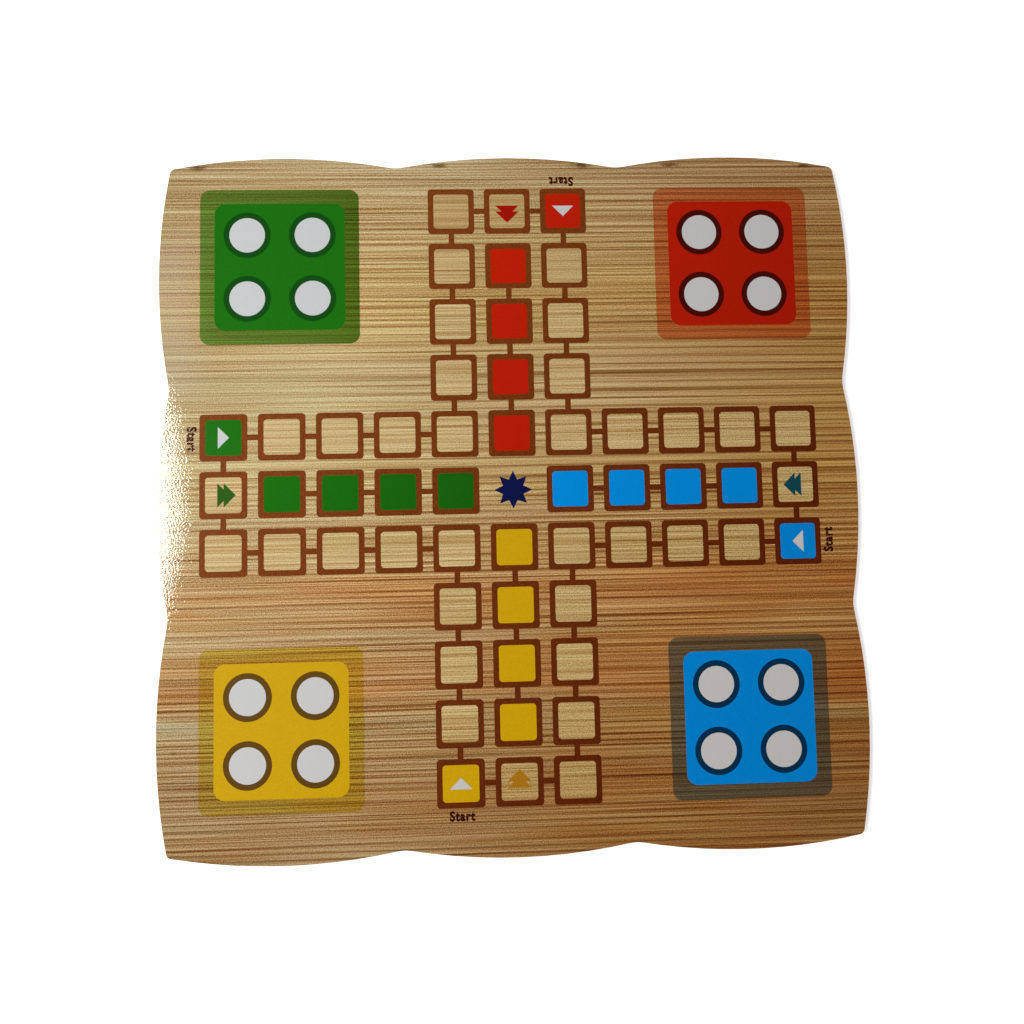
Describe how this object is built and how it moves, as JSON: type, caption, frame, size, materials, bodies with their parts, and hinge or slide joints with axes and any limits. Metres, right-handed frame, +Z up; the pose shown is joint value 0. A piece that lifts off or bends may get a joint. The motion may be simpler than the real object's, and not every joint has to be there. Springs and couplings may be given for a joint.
{
  "type": "ludo board",
  "caption": "Flat square ludo board with scalloped sides: a fibreboard core, a wood-grain face sheet, a plain back and the printed cross track with four player bases.",
  "frame": {"origin": "centre of the underside", "axes": "+Z up out of the printed face, +X to the right of the yellow player's seat, +Y away from the yellow player"},
  "size_m": [0.35, 0.35, 0.003],
  "materials": {
    "fibreboard": "routed raw edge",
    "wood_print_sheet": "wood-grain print under a gloss film",
    "back_liner": "plain matt paper",
    "frame_brown": "gloss print",
    "pale_cell": "gloss print",
    "white_ink": "gloss print",
    "navy_ink": "gloss print",
    "green_ink": "gloss print",
    "green_tint": "gloss print",
    "green_ring": "gloss print",
    "green_mark": "gloss print",
    "red_ink": "gloss print",
    "red_tint": "gloss print",
    "red_ring": "gloss print",
    "red_mark": "gloss print",
    "blue_ink": "gloss print",
    "blue_tint": "gloss print",
    "blue_ring": "gloss print",
    "blue_mark": "gloss print",
    "yellow_ink": "gloss print",
    "yellow_tint": "gloss print",
    "yellow_ring": "gloss print",
    "yellow_mark": "gloss print"
  },
  "bodies": {
    "root": {"core_board": "fibreboard", "face_sheet": "wood_print_sheet", "back_sheet": "back_liner", "track_frames": "frame_brown", "track_cells": "pale_cell", "centre_star": "navy_ink", "green_run_frames": "frame_brown", "green_run_cells": "green_ink", "green_start_cell": "green_ink", "green_start_arrow": "white_ink", "green_entry_mark": "green_mark", "green_base_border": "green_tint", "green_base_field": "green_ink", "green_base_rings": "green_ring", "green_base_spots": "white_ink", "red_run_frames": "frame_brown", "red_run_cells": "red_ink", "red_start_cell": "red_ink", "red_start_arrow": "white_ink", "red_entry_mark": "red_mark", "red_base_border": "red_tint", "red_base_field": "red_ink", "red_base_rings": "red_ring", "red_base_spots": "white_ink", "blue_run_frames": "frame_brown", "blue_run_cells": "blue_ink", "blue_start_cell": "blue_ink", "blue_start_arrow": "white_ink", "blue_entry_mark": "blue_mark", "blue_base_border": "blue_tint", "blue_base_field": "blue_ink", "blue_base_rings": "blue_ring", "blue_base_spots": "white_ink", "yellow_run_frames": "frame_brown", "yellow_run_cells": "yellow_ink", "yellow_start_cell": "yellow_ink", "yellow_start_arrow": "white_ink", "yellow_entry_mark": "yellow_mark", "yellow_base_border": "yellow_tint", "yellow_base_field": "yellow_ink", "yellow_base_rings": "yellow_ring", "yellow_base_spots": "white_ink"}
  },
  "joints": []
}
